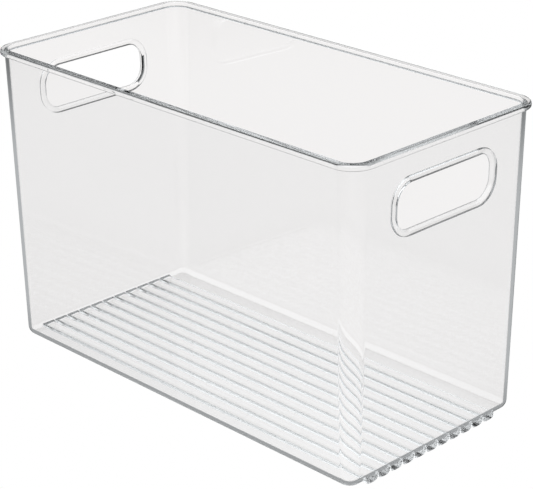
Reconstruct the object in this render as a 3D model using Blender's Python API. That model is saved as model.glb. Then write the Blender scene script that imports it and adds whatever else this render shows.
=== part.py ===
"""Clear open-topped storage bin for a fridge shelf, modelled as its separate design features.

Metres, +Z up. The origin is at the centre of the footprint, on the surface the bin stands on.
The bin's length runs along X and its two hand holes are in the end walls.
"""
import math

import bmesh
import bpy
from mathutils import Matrix, Vector

# Driving dimensions of the whole bin
LENGTH = 0.305
WIDTH = 0.155
HEIGHT = 0.196
WALL = 0.0022
DRAFT = 0.004
GAP = 0.0003

# Rim bead round the mouth
RIM_OVERHANG = 0.0027
RIM_DEPTH = 0.0036
RIM_COVE = 0.0006
RIM_ROUND = 0.00175
RIM_INNER_ROUND = 0.0009

# Corners and the rounded edge between walls and floor
CORNER_TOP = 0.0125
BASE_ROUND = 0.006

# Rounded feet under the floor: a fullness of 1 is a plain half round, less fills out its corners
FOOT_COUNT = 11
FOOT_DEPTH = 0.0023
FOOT_WIDTH = 0.0092
FOOT_PITCH = 0.0102
FOOT_END_INSET = 0.0018
FOOT_FULLNESS = 0.7

# Hand holes and the beads that frame them
HOLE_LENGTH = 0.0790
HOLE_HEIGHT = 0.0274
HOLE_CORNER = 0.0110
HOLE_BELOW_RIM = 0.0346
BEAD_WIDTH = 0.0039
BEAD_THICKNESS = 0.0048
BEAD_ROUND = 0.0012
BEAD_OUTWARD_SHIFT = -0.0005

# Fineness of the round stretches
ARC_STEPS = 6
CORNER_STEPS = 8
FOOT_STEPS = 7

# Places worked out from the dimensions above
AXIS_X = LENGTH / 2 - RIM_OVERHANG - CORNER_TOP
AXIS_Y = WIDTH / 2 - RIM_OVERHANG - CORNER_TOP
CORNER_BASE = CORNER_TOP - DRAFT
LEAN = math.atan2(DRAFT, HEIGHT)
WALL_TOP = HEIGHT - RIM_DEPTH - RIM_COVE - GAP

SIDES = {"front": -90, "right": 0, "back": 90, "left": 180}
CORNERS = {"front_right": -45, "back_right": 45, "back_left": 135, "front_left": -135}


def clear_scene():
    for obj in list(bpy.data.objects):
        bpy.data.objects.remove(obj)


def new_collection(name):
    collection = bpy.data.collections.new(name)
    bpy.context.scene.collection.children.link(collection)
    return collection


def plastic(name):
    """Clear, glossy, faintly grey moulded plastic."""
    material = bpy.data.materials.new(name)
    material.use_nodes = True
    shader = material.node_tree.nodes["Principled BSDF"]
    shader.inputs["Base Color"].default_value = (0.93, 0.94, 0.94, 1)
    shader.inputs["Roughness"].default_value = 0.05
    shader.inputs["Metallic"].default_value = 0
    shader.inputs["Transmission Weight"].default_value = 1
    shader.inputs["IOR"].default_value = 1.57
    return material


def arc(centre, radius, start, end, steps=ARC_STEPS):
    """Points of an arc in a plane, angles in degrees."""
    angles = [math.radians(start + (end - start) * i / steps) for i in range(steps + 1)]
    return [(centre[0] + radius * math.cos(a), centre[1] + radius * math.sin(a)) for a in angles]


def outer_radius(z):
    """Distance from a corner's axis to the outside of the wall at height z."""
    return CORNER_TOP - DRAFT * (HEIGHT - z) / HEIGHT


def wall_profile():
    """Upright wall with the rounded edge at its foot, as (distance from corner axis, height)."""
    top = outer_radius(WALL_TOP)
    edge = outer_radius(FOOT_DEPTH + BASE_ROUND)
    centre = (edge - BASE_ROUND, FOOT_DEPTH + BASE_ROUND)
    outside = [(top, WALL_TOP)] + arc(centre, BASE_ROUND, 0, -90)
    inside = arc(centre, BASE_ROUND - WALL, -90, 0) + [(top - WALL, WALL_TOP)]
    return outside + inside


def rim_profile():
    """Bead turned outwards at the mouth, with a cove under it, in the wall profile's plane."""
    face = outer_radius(HEIGHT)
    inner = face - WALL
    outer = face + RIM_OVERHANG
    under = HEIGHT - RIM_DEPTH
    cove_centre = (face + RIM_COVE, under - RIM_COVE)
    points = arc((inner + RIM_INNER_ROUND, HEIGHT - RIM_INNER_ROUND), RIM_INNER_ROUND, 180, 90, 3)
    points += arc((outer - RIM_ROUND, HEIGHT - RIM_ROUND), RIM_ROUND, 90, 0)
    points += arc((outer - RIM_ROUND, under + RIM_ROUND), RIM_ROUND, 0, -90)
    points += arc(cove_centre, RIM_COVE, 90, 180, 4)
    points += [(inner, under - RIM_COVE)]
    return points


def rounded_rectangle(half_x, half_y, radius, steps=ARC_STEPS):
    points = []
    for sx, sy, start in ((1, 1, 0), (-1, 1, 90), (-1, -1, 180), (1, -1, 270)):
        centre = (sx * (half_x - radius), sy * (half_y - radius))
        points += arc(centre, radius, start, start + 90, steps)
    return points


def profile_face(bm, points):
    """A filled outline standing in the XZ plane."""
    verts = [bm.verts.new((x, 0, z)) for x, z in points]
    return bm.faces.new(verts)


def finish_mesh(name, bm, collection, material):
    bmesh.ops.remove_doubles(bm, verts=bm.verts, dist=1e-6)
    bmesh.ops.recalc_face_normals(bm, faces=bm.faces)
    mesh = bpy.data.meshes.new(name)
    bm.to_mesh(mesh)
    bm.free()
    mesh.shade_smooth()
    mesh.set_sharp_from_angle(angle=math.radians(35))
    mesh.materials.append(material)
    obj = bpy.data.objects.new(name, mesh)
    collection.objects.link(obj)
    return obj


def straight_run(name, points, length, collection, material):
    """Pushes a profile sideways into a straight length centred on the origin."""
    bm = bmesh.new()
    face = profile_face(bm, points)
    pushed = bmesh.ops.extrude_face_region(bm, geom=[face])
    moved = [item for item in pushed["geom"] if isinstance(item, bmesh.types.BMVert)]
    bmesh.ops.translate(bm, verts=moved, vec=(0, length, 0))
    bmesh.ops.translate(bm, verts=bm.verts, vec=(0, -length / 2, 0))
    return finish_mesh(name, bm, collection, material)


def corner_run(name, points, collection, material):
    """Swings a profile a quarter turn about its corner's upright axis."""
    bm = bmesh.new()
    face = profile_face(bm, points)
    bmesh.ops.rotate(bm, verts=bm.verts, cent=(0, 0, 0), matrix=Matrix.Rotation(math.radians(-45), 3, "Z"))
    geom = [face] + list(face.edges) + list(face.verts)
    bmesh.ops.spin(bm, geom=geom, cent=(0, 0, 0), axis=(0, 0, 1), angle=math.radians(90), steps=CORNER_STEPS)
    return finish_mesh(name, bm, collection, material)


def side_place(side):
    """Where the corner axes' line runs on one side of the bin, and the run's free length there."""
    turn = math.radians(SIDES[side])
    along_x = side in ("left", "right")
    offset = AXIS_X if along_x else AXIS_Y
    span = AXIS_Y if along_x else AXIS_X
    place = Vector((math.cos(turn) * offset, math.sin(turn) * offset, 0))
    return place, turn, 2 * (span - GAP)


def corner_place(corner):
    turn = math.radians(CORNERS[corner])
    place = Vector((math.copysign(AXIS_X, math.cos(turn)), math.copysign(AXIS_Y, math.sin(turn)), 0))
    return place, turn


def flat_piece(name, outlines, thickness, collection, edge_round=0.0):
    """A flat piece from closed outlines in the XY plane, any outline after the first being a hole."""
    curve = bpy.data.curves.new(name, "CURVE")
    curve.dimensions = "2D"
    curve.fill_mode = "BOTH"
    curve.extrude = thickness / 2 - edge_round
    curve.bevel_depth = edge_round
    curve.bevel_resolution = 2
    curve.offset = -edge_round
    for outline in outlines:
        spline = curve.splines.new("POLY")
        spline.points.add(len(outline) - 1)
        for point, (x, y) in zip(spline.points, outline):
            point.co = (x, y, 0, 1)
        spline.use_cyclic_u = True
    obj = bpy.data.objects.new(name, curve)
    collection.objects.link(obj)
    return obj


def as_mesh(obj, material):
    """Turns a curve object into a mesh object of the same name, with its caps welded."""
    bpy.context.view_layer.update()
    graph = bpy.context.evaluated_depsgraph_get()
    mesh = bpy.data.meshes.new_from_object(obj.evaluated_get(graph))
    name = obj.name
    collection = obj.users_collection[0]
    place = obj.matrix_world.copy()
    bpy.data.objects.remove(obj)
    bm = bmesh.new()
    bm.from_mesh(mesh)
    bpy.data.meshes.remove(mesh)
    solid = finish_mesh(name, bm, collection, material)
    solid.matrix_world = place
    return solid


def cut(obj, cutter):
    cutter.hide_render = True
    cutter.display_type = "WIRE"
    boolean = obj.modifiers.new("cut", "BOOLEAN")
    boolean.object = cutter
    boolean.operation = "DIFFERENCE"
    boolean.solver = "EXACT"


def hole_plane(side):
    """Plane of a hand hole: its X along the end wall, its Y up the leaning wall, its Z outwards."""
    sign = 1 if side == "right" else -1
    height = HEIGHT - HOLE_BELOW_RIM
    middle = AXIS_X + outer_radius(height) - WALL / 2
    outwards = Vector((sign * math.cos(LEAN), 0, -math.sin(LEAN)))
    along = Vector((0, sign, 0))
    upwards = outwards.cross(along)
    turn = Matrix((along, upwards, outwards)).transposed().to_4x4()
    return Matrix.Translation((sign * middle, 0, height)) @ turn


def hole_outline(grow):
    return rounded_rectangle(HOLE_LENGTH / 2 + grow, HOLE_HEIGHT / 2 + grow, HOLE_CORNER + grow)


def make_floor(parts, material):
    reach = CORNER_BASE + DRAFT * (FOOT_DEPTH + BASE_ROUND) / HEIGHT - BASE_ROUND - GAP
    outline = rounded_rectangle(AXIS_X + reach, AXIS_Y + reach, reach)
    floor = flat_piece("floor_panel", [outline], WALL, parts)
    floor.location.z = FOOT_DEPTH + WALL / 2
    return as_mesh(floor, material)


def make_side(side, parts, material):
    place, turn, length = side_place(side)
    pieces = {}
    for kind, points in (("wall", wall_profile()), ("rim", rim_profile())):
        piece = straight_run(f"{side}_{kind}", points, length, parts, material)
        piece.location = place
        piece.rotation_euler.z = turn
        pieces[kind] = piece
    return pieces["wall"]


def make_corner(corner, parts, material):
    place, turn = corner_place(corner)
    for kind, points in (("corner", wall_profile()), ("rim_corner", rim_profile())):
        piece = corner_run(f"{corner}_{kind}", points, parts, material)
        piece.location = place
        piece.rotation_euler.z = turn


def make_hand_hole(side, wall, parts, cutters, material):
    plane = hole_plane(side)
    cutter = flat_piece(f"{side}_hole_cutter", [hole_outline(BEAD_WIDTH + GAP)], 8 * WALL, cutters)
    cutter.matrix_world = plane
    cut(wall, as_mesh(cutter, material))
    outlines = [hole_outline(BEAD_WIDTH), hole_outline(0)]
    bead = flat_piece(f"{side}_handle_bead", outlines, BEAD_THICKNESS, parts, BEAD_ROUND)
    bead.matrix_world = plane @ Matrix.Translation((0, 0, BEAD_OUTWARD_SHIFT))
    return as_mesh(bead, material)


def make_feet(parts, material):
    """Rounded lengthwise feet, with a flat along the bottom of each."""
    edge = AXIS_X + CORNER_BASE - FOOT_END_INSET
    top = FOOT_DEPTH - GAP
    deep = top / math.sin(math.radians(90 + 90 / FOOT_STEPS)) ** FOOT_FULLNESS
    section = []
    for x, z in arc((0, 0), 1, 180, 360, FOOT_STEPS):
        across = math.copysign(abs(x) ** FOOT_FULLNESS, x) * FOOT_WIDTH / 2
        section.append((across, top - abs(z) ** FOOT_FULLNESS * deep))
    for number in range(FOOT_COUNT):
        foot = straight_run(f"base_foot_{number + 1:02d}", section, 2 * edge, parts, material)
        foot.location.y = (number - (FOOT_COUNT - 1) / 2) * FOOT_PITCH
        foot.rotation_euler.z = math.radians(90)


def build():
    clear_scene()
    parts = new_collection("fridge_bin")
    cutters = new_collection("cutters")
    material = plastic("clear_plastic")
    make_floor(parts, material)
    walls = {side: make_side(side, parts, material) for side in SIDES}
    for corner in CORNERS:
        make_corner(corner, parts, material)
    for side in ("left", "right"):
        make_hand_hole(side, walls[side], parts, cutters, material)
    make_feet(parts, material)


build()
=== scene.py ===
# %% [markdown]
# # A clear fridge bin, made in Blender
# The real thing is one injection moulding in clear, hard plastic: four leaning walls with
# rounded corners, a bead turned outwards round the mouth, a framed hand hole in each end,
# and eleven rounded feet that run the length of the base.
# Clear plastic is all edges. What the eye reads is where light bends, so this lesson spends
# its effort on exact curves, on one closed skin with no hidden seams, and on the light.

# %% Load the frame
import math

import bmesh
import bpy
from mathutils import Matrix, Quaternion, Vector


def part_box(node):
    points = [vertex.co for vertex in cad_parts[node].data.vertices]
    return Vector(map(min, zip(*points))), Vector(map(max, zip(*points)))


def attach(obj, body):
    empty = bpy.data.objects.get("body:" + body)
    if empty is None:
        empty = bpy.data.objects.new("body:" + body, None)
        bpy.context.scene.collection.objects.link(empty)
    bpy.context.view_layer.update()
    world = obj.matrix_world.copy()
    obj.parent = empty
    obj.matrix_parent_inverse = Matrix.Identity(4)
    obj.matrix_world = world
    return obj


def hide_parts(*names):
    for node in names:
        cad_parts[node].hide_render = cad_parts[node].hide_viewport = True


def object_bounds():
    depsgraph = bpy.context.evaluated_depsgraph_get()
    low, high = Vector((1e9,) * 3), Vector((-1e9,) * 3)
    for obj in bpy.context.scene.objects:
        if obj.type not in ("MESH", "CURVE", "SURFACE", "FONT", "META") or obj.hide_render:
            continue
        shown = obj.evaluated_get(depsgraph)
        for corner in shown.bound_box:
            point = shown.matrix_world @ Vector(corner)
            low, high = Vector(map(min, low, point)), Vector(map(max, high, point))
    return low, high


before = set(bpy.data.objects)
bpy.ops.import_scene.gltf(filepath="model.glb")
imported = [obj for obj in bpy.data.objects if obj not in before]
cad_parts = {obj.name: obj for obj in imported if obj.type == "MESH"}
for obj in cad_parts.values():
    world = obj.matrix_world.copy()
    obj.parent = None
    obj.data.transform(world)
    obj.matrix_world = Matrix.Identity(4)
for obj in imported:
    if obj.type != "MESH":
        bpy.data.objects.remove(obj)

cad_low, cad_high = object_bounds()
print("the packed model spans", [round(v * 1000, 1) for v in cad_high - cad_low], "mm")

# %% [markdown]
# ## Sizes
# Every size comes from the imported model, so that the pieces fit it with nothing nudged by
# eye. A part's box gives most of them. The few that a box can't show, such as the radius of
# a round, are the maker's own driving dimensions.

# %% Read the sizes
MM = 0.001
floor_low, floor_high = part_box("floor_panel")
WALL = floor_high.z - floor_low.z
FOOT_DEPTH = floor_low.z
HEIGHT = cad_high.z
SEAM = 0.3 * MM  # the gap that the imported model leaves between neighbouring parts
AXIS_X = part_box("front_rim")[1].x + SEAM
AXIS_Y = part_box("right_rim")[1].y + SEAM
RIM_OVERHANG = 2.7 * MM
CORNER_TOP = cad_high.x - RIM_OVERHANG - AXIS_X
DRAFT = 4 * MM
LEAN = math.atan2(DRAFT, HEIGHT)
print(f"wall {WALL / MM:.2f} mm, corner axes at {AXIS_X / MM:.1f} and {AXIS_Y / MM:.1f} mm")
print(f"corner radius {CORNER_TOP / MM:.1f} mm, leaning {math.degrees(LEAN):.2f} degrees")

# %% [markdown]
# ## Wiring nodes like arithmetic
# Both the shapes and the plastic are node trees. Written out link by link they are hard to
# read, so a socket is wrapped in a small class. Adding or multiplying two wrapped sockets
# places a Math node and joins it up, and `1 - mask` works as well as `mask - 1`.

# %% A socket that does sums
class Wire:
    """A node's output, which places Math nodes when it is used in a sum."""

    def __init__(self, board, socket):
        self.board = board
        self.socket = socket

    def sum(self, operation, *terms):
        inputs = dict(enumerate(terms))
        return self.board.put("ShaderNodeMath", {"operation": operation}, inputs)

    def __add__(self, other):
        return self.sum("ADD", self, other)

    def __sub__(self, other):
        return self.sum("SUBTRACT", self, other)

    def __mul__(self, other):
        return self.sum("MULTIPLY", self, other)

    def __truediv__(self, other):
        return self.sum("DIVIDE", self, other)

    def __rsub__(self, other):
        return self.sum("SUBTRACT", other, self)

    __radd__ = __add__
    __rmul__ = __mul__

    def __gt__(self, other):
        return self.sum("GREATER_THAN", self, other)

    def whole(self):
        return self.sum("FLOOR", self)

    def sign(self):
        return self.sum("SIGN", self)

    def cos(self):
        return self.sum("COSINE", self)

    def sin(self):
        return self.sum("SINE", self)

    def absolute(self):
        return self.sum("ABSOLUTE", self)

    def larger(self, other):
        return self.sum("MAXIMUM", self, other)


# %% A board to place nodes on
class Board:
    """A node tree that is being wired."""

    def __init__(self, tree):
        self.tree = tree
        tree.nodes.clear()

    def plug(self, socket, value):
        if isinstance(value, Wire):
            self.tree.links.new(value.socket, socket)
        else:
            socket.default_value = value

    def put(self, kind, settings=None, inputs=None, output=0):
        """Places a node: its settings first, then its inputs, and gives back one output."""
        node = self.tree.nodes.new(kind)
        for name, value in (settings or {}).items():
            setattr(node, name, value)
        for name, value in (inputs or {}).items():
            self.plug(node.inputs[name], value)
        return Wire(self, node.outputs[output]) if node.outputs else node

    def other(self, wire, output):
        """Another output of the node that a wire comes from."""
        return Wire(self, wire.socket.node.outputs[output])


# %% [markdown]
# ## Clear plastic
# Hard, clear moulding plastic bends light more than water and less than crystal. Its skin
# copies a polished mould, but nothing from a kitchen is perfect: the melt leaves broad, very
# shallow ripples, use leaves hairlines, hands dull the rim, and a shelf scuffs the feet.
# All of it is slight, because clear plastic with a strong texture looks dirty, not real.

# %% Mix the plastic
RIPPLE = 0.02 * MM  # how high the ripples stand
RIPPLE_SCALE = 22.0
WEAR_SCALE = 60.0
HAIRLINE_TURN = (0.5, 0.3, 0.2)
HAIRLINE_STRETCH = (40, 2600, 2600)  # noise squeezed on two sides draws out into streaks
HAIRLINE_SPAN = (0.74, 0.8)  # noise above this is a hairline, which keeps them few
WORN_SPAN = (0.45, 0.65)
FOOT_TOUCH = (0.02 * MM, 0.12 * MM)  # only the lowest edge of a foot rubs on a shelf
RIM_TOUCH = (HEIGHT - 0.3 * MM, HEIGHT - 0.02 * MM)
POLISHED = 0.006
HAIRLINE_DULL, FOOT_DULL, RIM_DULL = 0.08, 0.12, 0.04


def rise(board, value, span, shades=(0.0, 1.0)):
    """Goes smoothly from one shade to another as a value crosses a span."""
    inputs = {"Value": value, "From Min": span[0], "From Max": span[1]}
    inputs |= {"To Min": shades[0], "To Max": shades[1]}
    return board.put("ShaderNodeMapRange", {"interpolation_type": "SMOOTHSTEP"}, inputs)


def noise(board, place, scale, detail=2.0):
    inputs = {"Vector": place, "Scale": scale, "Detail": detail}
    return board.put("ShaderNodeTexNoise", inputs=inputs)


def clear_plastic():
    material = bpy.data.materials.new("clear_plastic")
    material.use_nodes = True
    board = Board(material.node_tree)
    place = board.put("ShaderNodeTexCoord", output="Object")
    height = board.other(board.put("ShaderNodeSeparateXYZ", inputs={"Vector": place}), "Z")

    inputs = {"Vector": place, "Rotation": HAIRLINE_TURN, "Scale": HAIRLINE_STRETCH}
    drawn_out = board.put("ShaderNodeMapping", inputs=inputs)
    hairlines = rise(board, noise(board, drawn_out, 1.0, 0.0), HAIRLINE_SPAN)
    worn = rise(board, noise(board, place, WEAR_SCALE), WORN_SPAN)
    on_feet = 1.0 - rise(board, height, FOOT_TOUCH)
    on_rim = rise(board, height, RIM_TOUCH)
    dull = hairlines * HAIRLINE_DULL + on_feet * FOOT_DULL + on_rim * RIM_DULL
    roughness = POLISHED + worn * dull

    ripple = noise(board, place, RIPPLE_SCALE, 0.0) * RIPPLE
    bump = board.put("ShaderNodeBump", inputs={"Strength": 1.0, "Distance": 1.0, "Height": ripple})
    shader = board.put(
        "ShaderNodeBsdfPrincipled",
        inputs={
            "Base Color": (1, 1, 1, 1),
            "Metallic": 0.0,
            "Roughness": roughness,
            "IOR": 1.57,
            "Transmission Weight": 1.0,
            "Normal": bump,
        },
    )
    board.put("ShaderNodeOutputMaterial", inputs={"Surface": shader})
    return material


PLASTIC = clear_plastic()
print("plastic has", len(PLASTIC.node_tree.nodes), "nodes")

# %% [markdown]
# ## Rounds, as a maker draws them
# A cross-section is a chain of straight lines and arcs, so one helper draws an arc. Fine
# steps matter more here than on a painted object, because a flat facet on clear plastic
# bends what is behind it as a whole.

# %% Draw an arc
ARC_STEPS = 14


def arc(centre, radius, start, end, steps=ARC_STEPS):
    """Points of an arc, angles in degrees."""
    turns = [math.radians(start + (end - start) * i / steps) for i in range(steps + 1)]
    return [(centre[0] + radius * math.cos(t), centre[1] + radius * math.sin(t)) for t in turns]


def outer_radius(z):
    """How far the outside of the wall is from its corner's axis at height z."""
    return CORNER_TOP - DRAFT * (HEIGHT - z) / HEIGHT


# %% [markdown]
# ## One rule for every rounded rectangle
# The walls, the rim and the bead round a hand hole are all the same idea: a cross-section
# carried round a rounded rectangle. Sweeping with Curve to Mesh tilts the section slightly
# where a straight meets a curve. Here each point is placed by rule instead: it takes the
# angle of its column, and slides out to its own corner's axis. Straights stay dead flat.
# The object starts as its own cross-section, a chain of points with X as the distance from
# the corner axis and Z as the height, and Geometry Nodes do the rest.

# %% Build the sweeping tree
SAME_POINT = 1e-6  # in metres, how near two points are welded into one
NUDGE = 1e-4  # stops a whole number that is a hair too low from being floored to the one below


def add_inputs(tree, floats, integers=()):
    tree.interface.new_socket("Geometry", in_out="INPUT", socket_type="NodeSocketGeometry")
    for name in floats:
        tree.interface.new_socket(name, in_out="INPUT", socket_type="NodeSocketFloat")
    for name in integers:
        tree.interface.new_socket(name, in_out="INPUT", socket_type="NodeSocketInt")
    tree.interface.new_socket("Material", in_out="INPUT", socket_type="NodeSocketMaterial")
    tree.interface.new_socket("Geometry", in_out="OUTPUT", socket_type="NodeSocketGeometry")


def end_tree(board, geometry, given):
    """Realize Instances and Set Material close every tree, so that plain mesh comes out."""
    solid = board.put("GeometryNodeRealizeInstances", inputs={"Geometry": geometry})
    inputs = {"Geometry": solid, "Material": given("Material")}
    dressed = board.put("GeometryNodeSetMaterial", inputs=inputs)
    board.put("NodeGroupOutput", inputs={"Geometry": dressed})


def rounded_sweep_tree():
    """Carries a cross-section round a rounded rectangle, and fills the middle if asked."""
    tree = bpy.data.node_groups.new("rounded_sweep", "GeometryNodeTree")
    add_inputs(tree, ("Axis X", "Axis Y", "Cap"), ("Corner Steps",))
    board = Board(tree)
    source = board.put("NodeGroupInput")

    def given(name):
        return board.other(source, name)

    section = given("Geometry")
    rows = board.put("GeometryNodeAttributeDomainSize", inputs={"Geometry": section})
    around = given("Corner Steps") + 1
    sizes = {"Vertices X": around * 4 + 1, "Vertices Y": rows}
    sheet = board.put("GeometryNodeMeshGrid", inputs=sizes)
    index = board.put("GeometryNodeInputIndex")
    column = (index / rows + NUDGE).whole()
    row = index - column * rows
    drawn = board.put("GeometryNodeInputPosition")
    inputs = {"Geometry": section, "Value": drawn, "Index": row}
    picked = board.put("GeometryNodeSampleIndex", {"data_type": "FLOAT_VECTOR"}, inputs)
    across = board.put("ShaderNodeSeparateXYZ", inputs={"Vector": picked})
    corner = (column / around + NUDGE).whole()
    step = column - corner * around
    quarter = math.pi / 2
    angle = (corner + step / given("Corner Steps")) * quarter
    middle = (corner + 0.5) * quarter
    x = middle.cos().sign() * given("Axis X") + across * angle.cos()
    y = middle.sin().sign() * given("Axis Y") + across * angle.sin()
    inputs = {"X": x, "Y": y, "Z": board.other(across, "Z")}
    place = board.put("ShaderNodeCombineXYZ", inputs=inputs)
    skin = board.put("GeometryNodeSetPosition", inputs={"Geometry": sheet, "Position": place})
    parts = [skin] + [cap_piece(board, given, section, end) for end in (0, rows - 1)]
    joined = board.put("GeometryNodeJoinGeometry")
    for part in parts:
        tree.links.new(part.socket, joined.socket.node.inputs[0])
    inputs = {"Geometry": joined, "Distance": SAME_POINT}
    end_tree(board, board.put("GeometryNodeMergeByDistance", inputs=inputs), given)
    return tree


def cap_piece(board, given, section, end):
    """The flat rectangle between the four corner axes, at one end of the section."""
    sizes = {
        "Size X": given("Axis X") * 2,
        "Size Y": given("Axis Y") * 2,
        "Vertices X": 2,
        "Vertices Y": 2,
    }
    flat = board.put("GeometryNodeMeshGrid", inputs=sizes)
    drawn = board.put("GeometryNodeInputPosition")
    inputs = {"Geometry": section, "Value": drawn, "Index": end}
    picked = board.put("GeometryNodeSampleIndex", {"data_type": "FLOAT_VECTOR"}, inputs)
    across = board.put("ShaderNodeSeparateXYZ", inputs={"Vector": picked})
    lift = board.put("ShaderNodeCombineXYZ", inputs={"Z": board.other(across, "Z")})
    raised = board.put("GeometryNodeTransform", inputs={"Geometry": flat, "Translation": lift})
    inputs = {"Switch": given("Cap") > 0.5, "True": raised}
    return board.put("GeometryNodeSwitch", {"input_type": "GEOMETRY"}, inputs)


ROUNDED_SWEEP = rounded_sweep_tree()
print("sweeping tree has", len(ROUNDED_SWEEP.nodes), "nodes")


# %% Run a tree and keep plain mesh
def set_inputs(modifier, values):
    """A modifier's inputs go by each socket's identifier, not by its name."""
    for item in modifier.node_group.interface.items_tree:
        if item.in_out == "INPUT" and item.name in values:
            modifier[item.identifier] = values[item.name]


def plain_mesh(obj):
    """Replaces an object's mesh by what its modifiers make of it, and drops them."""
    bpy.context.view_layer.update()
    graph = bpy.context.evaluated_depsgraph_get()
    made = bpy.data.meshes.new_from_object(
        obj.evaluated_get(graph), preserve_all_data_layers=True, depsgraph=graph
    )
    obj.modifiers.clear()
    obj.data = made
    made.name = obj.name
    return obj


def outward(mesh):
    """Welds a mesh's doubles and turns its faces outwards."""
    bm = bmesh.new()
    bm.from_mesh(mesh)
    bmesh.ops.remove_doubles(bm, verts=bm.verts, dist=2e-7)
    bmesh.ops.dissolve_degenerate(bm, edges=bm.edges, dist=1e-7)
    bmesh.ops.recalc_face_normals(bm, faces=bm.faces)
    bm.to_mesh(mesh)
    bm.free()


def new_piece(name, points, edges=(), faces=()):
    mesh = bpy.data.meshes.new(name)
    mesh.from_pydata([Vector(p) for p in points], edges, faces)
    obj = bpy.data.objects.new(name, mesh)
    bpy.context.scene.collection.objects.link(obj)
    return obj


def swept(name, section, axis_x, axis_y, capped, steps):
    chain = [(i, i + 1) for i in range(len(section) - 1)]
    obj = new_piece(name, [(r, 0, z) for r, z in section], edges=chain)
    modifier = obj.modifiers.new("sweep", "NODES")
    modifier.node_group = ROUNDED_SWEEP
    sizes = {"Axis X": axis_x, "Axis Y": axis_y, "Cap": float(capped), "Corner Steps": steps}
    set_inputs(modifier, sizes | {"Material": PLASTIC})
    plain_mesh(obj)
    outward(obj.data)
    print(name, "has", len(obj.data.polygons), "faces")
    return obj


# %% [markdown]
# ## Walls, floor and rim
# On the real bin the plastic runs from the middle of the underside, round the rounded foot
# of the wall, up the leaning outside, out round the rim, and back down the inside to the
# floor. Drawn as one cross-section and swept once, it is a closed skin with no inner seams.
# A seam inside clear plastic would show as a dark line.

# %% Draw the bin's cross-section
BASE_ROUND = 6.0 * MM
RIM_DEPTH = 3.6 * MM
RIM_COVE = 0.6 * MM
RIM_ROUND = 1.4 * MM
RIM_INNER_ROUND = 0.7 * MM
CORNER_STEPS = 24


def bin_section():
    """From the middle of the underside, out and up, over the rim, and down to the floor."""
    edge = outer_radius(FOOT_DEPTH + BASE_ROUND)
    foot_centre = (edge - BASE_ROUND, FOOT_DEPTH + BASE_ROUND)
    face = outer_radius(HEIGHT)
    inner = face - WALL
    outer = face + RIM_OVERHANG
    under = HEIGHT - RIM_DEPTH
    points = [(0, FOOT_DEPTH)]
    points += arc(foot_centre, BASE_ROUND, -90, 0)
    points += arc((outer_radius(under - RIM_COVE) + RIM_COVE, under - RIM_COVE), RIM_COVE, 180, 90)
    points += arc((outer - RIM_ROUND, under + RIM_ROUND), RIM_ROUND, -90, 0)
    points += arc((outer - RIM_ROUND, HEIGHT - RIM_ROUND), RIM_ROUND, 0, 90)
    points += arc((inner + RIM_INNER_ROUND, HEIGHT - RIM_INNER_ROUND), RIM_INNER_ROUND, 90, 180)
    points += arc(foot_centre, BASE_ROUND - WALL, 0, -90)
    points += [(0, FOOT_DEPTH + WALL)]
    return points


moulding = swept("bin_moulding", bin_section(), AXIS_X, AXIS_Y, True, CORNER_STEPS)

# %% [markdown]
# ## Hand holes
# Each end wall has a long hole with rounded ends. A bare edge would cut into the hand and
# crack, so the maker frames it with a thicker bead that stands out on both sides. The bead
# uses the same sweep, in the plane of the leaning wall.

# %% Draw the bead and the opening
HOLE_LENGTH = 79.0 * MM
HOLE_HEIGHT = 27.4 * MM
HOLE_CORNER = 11.0 * MM
HOLE_BELOW_RIM = 34.6 * MM
BEAD_WIDTH = 3.9 * MM
BEAD_THICKNESS = 4.8 * MM
BEAD_ROUND = 1.9 * MM
BEAD_OUTWARD_SHIFT = -0.5 * MM
PLUG_REACH = 4 * WALL
HOLE_AXIS_X = HOLE_LENGTH / 2 - HOLE_CORNER
HOLE_AXIS_Y = HOLE_HEIGHT / 2 - HOLE_CORNER


def bead_section():
    near = HOLE_CORNER + BEAD_ROUND
    far = HOLE_CORNER + BEAD_WIDTH - BEAD_ROUND
    deep = BEAD_THICKNESS / 2 - BEAD_ROUND
    points = arc((far, deep), BEAD_ROUND, 0, 90)
    points += arc((near, deep), BEAD_ROUND, 90, 180)
    points += arc((near, -deep), BEAD_ROUND, 180, 270)
    points += arc((far, -deep), BEAD_ROUND, 270, 360)
    return points + points[:1]


def hole_plane(sign):
    """The plane of one hand hole: X along the wall, Y up it, Z outwards."""
    height = HEIGHT - HOLE_BELOW_RIM
    middle = AXIS_X + outer_radius(height) - WALL / 2
    outwards = Vector((sign * math.cos(LEAN), 0, -math.sin(LEAN)))
    along = Vector((0, sign, 0))
    turn = Matrix((along, outwards.cross(along), outwards)).transposed().to_4x4()
    return Matrix.Translation((sign * middle, 0, height)) @ turn


def bead(name, sign):
    ring = swept(name, bead_section(), HOLE_AXIS_X, HOLE_AXIS_Y, False, CORNER_STEPS)
    ring.data.transform(hole_plane(sign) @ Matrix.Translation((0, 0, BEAD_OUTWARD_SHIFT)))
    return ring


def opening(name, sign):
    """A plug that cuts the wall under the middle of the bead, where the cut is hidden."""
    edge = HOLE_CORNER + BEAD_WIDTH / 2
    section = [(0, -PLUG_REACH), (edge, -PLUG_REACH), (edge, PLUG_REACH), (0, PLUG_REACH)]
    plug = swept(name, section, HOLE_AXIS_X, HOLE_AXIS_Y, True, CORNER_STEPS)
    plug.data.transform(hole_plane(sign))
    return plug


ends = {"left": -1, "right": 1}
openings = [opening(f"{side}_opening", sign) for side, sign in ends.items()]
beads = [bead(f"{side}_bead", sign) for side, sign in ends.items()]

# %% [markdown]
# ## Feet
# Eleven rounded bars lift the floor and stiffen it. They repeat at an even pitch, which is
# Geometry Nodes' home ground: a line of points, one bar on each. The bars reach up into the
# floor's thickness, so that they join it rather than touch it. A plain half round would bend
# light over its whole width and show as a broad stripe. A fuller section is flat in the
# middle and bends light only at its edges, so each gap between two feet shows as one line.

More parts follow.
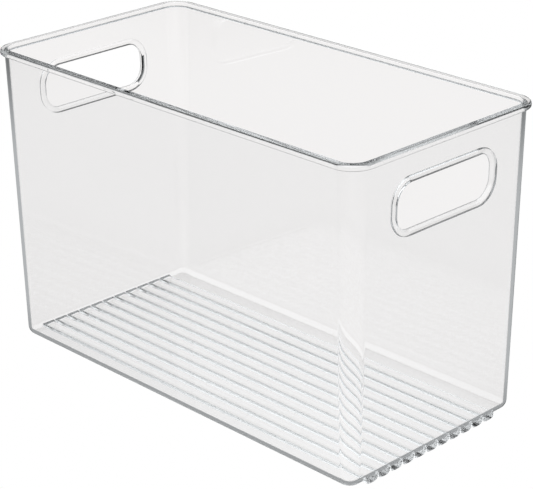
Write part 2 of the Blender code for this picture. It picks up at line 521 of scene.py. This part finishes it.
# %% Build the row of feet
FOOT_COUNT = 11
FOOT_STEPS = 30
FOOT_FULLNESS = 0.7  # 1 would be a plain half round, less fills out its corners
FOOT_ROOT = 1.9 * MM  # how far a foot reaches up past the underside of the floor
foot_low, foot_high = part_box("base_foot_01")
FOOT_WIDTH = foot_high.y - foot_low.y
FOOT_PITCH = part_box("base_foot_02")[0].y - foot_low.y
FOOT_REACH = foot_high.x


def foot_section():
    """A rounded bar, carried up into the floor and the rounded foot of the wall."""
    half = FOOT_WIDTH / 2
    root = FOOT_DEPTH + FOOT_ROOT
    points = [(-half, root)]
    for x, z in arc((0, 0), 1, 180, 360, FOOT_STEPS):
        wide = math.copysign(abs(x) ** FOOT_FULLNESS, x)
        points.append((wide * half, FOOT_DEPTH - abs(z) ** FOOT_FULLNESS * FOOT_DEPTH))
    return points + [(half, root)]


def row_tree():
    """Extrudes a drawn face into a bar and sets bars side by side at an even pitch."""
    tree = bpy.data.node_groups.new("row_of_bars", "GeometryNodeTree")
    add_inputs(tree, ("Length", "Pitch"), ("Count",))
    board = Board(tree)
    source = board.put("NodeGroupInput")

    def given(name):
        return board.other(source, name)

    length, pitch, count = given("Length"), given("Pitch"), given("Count")
    ahead = board.put("ShaderNodeCombineXYZ", inputs={"X": 1.0})
    inputs = {"Mesh": given("Geometry"), "Offset": ahead, "Offset Scale": length}
    bar = board.put("GeometryNodeExtrudeMesh", {"mode": "FACES"}, inputs)
    back_face = board.put("GeometryNodeFlipFaces", inputs={"Mesh": given("Geometry")})
    both = board.put("GeometryNodeJoinGeometry")
    for part in (bar, back_face):
        tree.links.new(part.socket, both.socket.node.inputs[0])
    inputs = {"Geometry": both, "Distance": SAME_POINT}
    closed = board.put("GeometryNodeMergeByDistance", inputs=inputs)
    inputs = {"X": length * -0.5, "Y": (count - 1) * pitch * -0.5}
    start = board.put("ShaderNodeCombineXYZ", inputs=inputs)
    stride = board.put("ShaderNodeCombineXYZ", inputs={"Y": pitch})
    inputs = {"Count": count, "Start Location": start, "Offset": stride}
    line = board.put("GeometryNodeMeshLine", inputs=inputs)
    inputs = {"Points": line, "Instance": closed}
    row = board.put("GeometryNodeInstanceOnPoints", inputs=inputs)
    end_tree(board, row, given)
    return tree


def row_of_feet():
    drawn = [(0, y, z) for y, z in foot_section()]
    obj = new_piece("feet", drawn, faces=[tuple(range(len(drawn)))])
    modifier = obj.modifiers.new("row", "NODES")
    modifier.node_group = row_tree()
    sizes = {"Length": 2 * FOOT_REACH, "Pitch": FOOT_PITCH, "Count": FOOT_COUNT}
    set_inputs(modifier, sizes | {"Material": PLASTIC})
    plain_mesh(obj)
    outward(obj.data)
    return obj


feet = row_of_feet()
print(f"{FOOT_COUNT} feet, {FOOT_PITCH / MM:.1f} mm apart, {len(feet.data.polygons)} faces")

# %% [markdown]
# ## One moulding
# Real plastic has no joints between a wall and its bead, so the parts are welded with exact
# Booleans: the openings are cut first, then the beads and feet are joined on. Weighted
# Normal then keeps flats flat, because a face's pull on the shading follows its area.

# %% Weld the moulding
CREASE = math.radians(32)


def weld(body, tool, operation):
    boolean = body.modifiers.new(operation.lower(), "BOOLEAN")
    boolean.operation = operation
    boolean.solver = "EXACT"
    boolean.object = tool
    plain_mesh(body)
    bpy.data.objects.remove(tool)


for tool in openings:
    weld(moulding, tool, "DIFFERENCE")
for tool in beads + [feet]:
    weld(moulding, tool, "UNION")


def smooth_shading(obj):
    """Smooth over rounds, sharp where faces meet at more than the crease angle."""
    outward(obj.data)
    obj.data.shade_smooth()
    obj.data.set_sharp_from_angle(angle=CREASE)
    weights = obj.modifiers.new("weights", "WEIGHTED_NORMAL")
    weights.keep_sharp = True
    plain_mesh(obj)


smooth_shading(moulding)


def open_edges(mesh):
    bm = bmesh.new()
    bm.from_mesh(mesh)
    loose = sum(1 for edge in bm.edges if not edge.is_manifold)
    volume = bm.calc_volume()
    bm.free()
    return loose, volume


loose, volume = open_edges(moulding.data)
print("moulding:", len(moulding.data.polygons), "faces,", loose, "open edges")
print("plastic used:", round(volume * 1e6, 1), "cm3")

# %% [markdown]
# ## On the frame
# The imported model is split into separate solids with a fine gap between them. Inside clear
# plastic each gap would show as a dark line, so the one welded skin stands for them all.

# %% Put the moulding on the frame
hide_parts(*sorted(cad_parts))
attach(moulding, "root")

# %% [markdown]
# ## Camera
# A long lens from a step to the right of the near corner, looking down a little.

# %% Place the camera
AZIMUTH = math.radians(45.673)
ELEVATION = math.radians(23.056)
DISTANCE = 1.143935
TARGET = Vector((0.008937, 0.000254, 0.088835))
ROLL = math.radians(-0.589)

toward = Vector(
    (
        math.sin(AZIMUTH) * math.cos(ELEVATION),
        -math.cos(AZIMUTH) * math.cos(ELEVATION),
        math.sin(ELEVATION),
    )
)
lens = bpy.data.cameras.new("camera")
lens.sensor_width = 36
lens.lens = 127.57
camera = bpy.data.objects.new("camera", lens)
camera.rotation_mode = "QUATERNION"
camera.rotation_quaternion = (-toward).to_track_quat("-Z", "Y") @ Quaternion((0, 0, 1), ROLL)
camera.location = TARGET + toward * DISTANCE
bpy.context.scene.collection.objects.link(camera)
bpy.context.scene.camera = camera

# %% [markdown]
# ## Floor and light
# Clear plastic shows what is round it, and in an all-white room it vanishes. A studio hangs
# black cloth out of view, so that the edges catch something dark. Here one rule does that,
# by what kind of light path sees the room: white straight on, slightly warm and less than
# white through the plastic, and cool with dark parts once the plastic has mirrored it.

# %% Tell the light paths apart
WHITE = (1, 1, 1, 1)
WARM = (1.0, 0.985, 0.98, 1)  # the colour of the light seen through the plastic
COOL = (0.95, 0.98, 1.0, 1)  # the colour of the light that the plastic mirrors
THROUGH = 0.955  # how bright the room and floor are through the plastic


def blend_colours(board, factor, first, second):
    """Colours go through Mix, because a Math node would turn them grey."""
    inputs = {0: factor, 6: first, 7: second}
    return board.put("ShaderNodeMix", {"data_type": "RGBA"}, inputs, output=2)


def stage_light(board, mirrored_shade, through):
    """White to the eye, a little less through the plastic, and its own shade when mirrored."""
    seen = board.put("ShaderNodeLightPath", output="Is Camera Ray")
    mirrored = board.other(seen, "Glossy Depth") > 0.5
    behind = through + mirrored * (mirrored_shade - through)
    strength = behind + seen * (1.0 - behind)
    tint = blend_colours(board, mirrored, WARM, COOL)
    return {"Strength": strength, "Color": blend_colours(board, seen, tint, WHITE)}


# %% Light the room
HORIZON = 0.45  # how bright the far floor and the foot of the room are when mirrored
OVERHEAD = 1.3
LEAN_RIGHT, LEAN_BACK = 0.06, 0.17  # the overhead light hangs lower towards the front left
DARK_GAP = 0.1  # what is seen through the plastic above the horizon
# Heights on a ball of directions, from 0 at the horizon to 1 straight up.
OVERHEAD_SPAN = (0.27, 0.5)
PALE_SPAN = (0.03, 0.13)
THROUGH_SPAN = (0.1, 0.22)


def studio():
    """A white room. The plastic mirrors a pale horizon, a dark gap and a big light overhead."""
    world = bpy.data.worlds.new("studio")
    bpy.context.scene.world = world
    world.use_nodes = True
    board = Board(world.node_tree)
    towards = board.put("ShaderNodeTexCoord", output="Generated")
    x = board.put("ShaderNodeSeparateXYZ", inputs={"Vector": towards})
    y, z = board.other(x, "Y"), board.other(x, "Z")
    lifted = z - x * LEAN_RIGHT - y * LEAN_BACK
    overhead = rise(board, lifted, OVERHEAD_SPAN, (0.0, OVERHEAD))
    mirrored_shade = overhead.larger(rise(board, z, PALE_SPAN, (HORIZON, 0.0)))
    through = rise(board, z, THROUGH_SPAN, (THROUGH, DARK_GAP))
    light = board.put("ShaderNodeBackground", inputs=stage_light(board, mirrored_shade, through))
    board.put("ShaderNodeOutputWorld", inputs={"Surface": light})


# %% Lay the floor
FLOOR_HALF = 30.0
FLOOR_GAP = 0.2 * MM  # air under the feet, so that two surfaces never share a place
# Painted shade in the floor's glow: each is a span in metres out from the bin's side, and the
# mirrored shades at its two ends.
BESIDE = (-0.005, 0.05), (0.36, 0.47)
STEP_AWAY = (0.3, 0.6), (1.0, 0.35)
FAR_OFF = (1.2, 3.0), (0.0, HORIZON)


def glowing_floor():
    """A glowing floor, white to the eye, mirrored with painted shade under the bin and again a
    step away, and pale far off.
    """
    signs = [(-1, -1), (1, -1), (1, 1), (-1, 1)]
    corners = [(x * FLOOR_HALF, y * FLOOR_HALF, -FLOOR_GAP) for x, y in signs]
    floor = new_piece("floor", corners, faces=[(0, 1, 2, 3)])
    material = bpy.data.materials.new("floor_glow")
    material.use_nodes = True
    board = Board(material.node_tree)
    place = board.put("ShaderNodeTexCoord", output="Object")
    across = board.put("ShaderNodeSeparateXYZ", inputs={"Vector": place})
    out_x = across.absolute() - cad_high.x
    out_y = board.other(across, "Y").absolute() - cad_high.y
    out = out_x.larger(out_y)
    # Painted shadow under the bin and painted shade a step away, in the floor's glow and seen only
    # when mirrored.
    near = rise(board, out, *BESIDE) * rise(board, out, *STEP_AWAY)
    mirrored_shade = near.larger(rise(board, out, *FAR_OFF))
    light = board.put("ShaderNodeEmission", inputs=stage_light(board, mirrored_shade, THROUGH))
    board.put("ShaderNodeOutputMaterial", inputs={"Surface": light})
    floor.data.materials.append(material)


studio()
glowing_floor()

# %% [markdown]
# ## Settings that suit clear plastic
# Light that enters the rim's flat top is reflected some forty times inside the wall before
# it gets out at the foot. With the usual few bounces such a path ends black, and the rim
# with it, so the limit is far higher here.

# %% Let the light bounce on
BOUNCES = 96
scene = bpy.context.scene
scene.view_settings.view_transform = "Standard"
scene.cycles.max_bounces = BOUNCES
scene.cycles.transmission_bounces = BOUNCES
scene.cycles.glossy_bounces = BOUNCES
print("light paths may bounce", BOUNCES, "times")
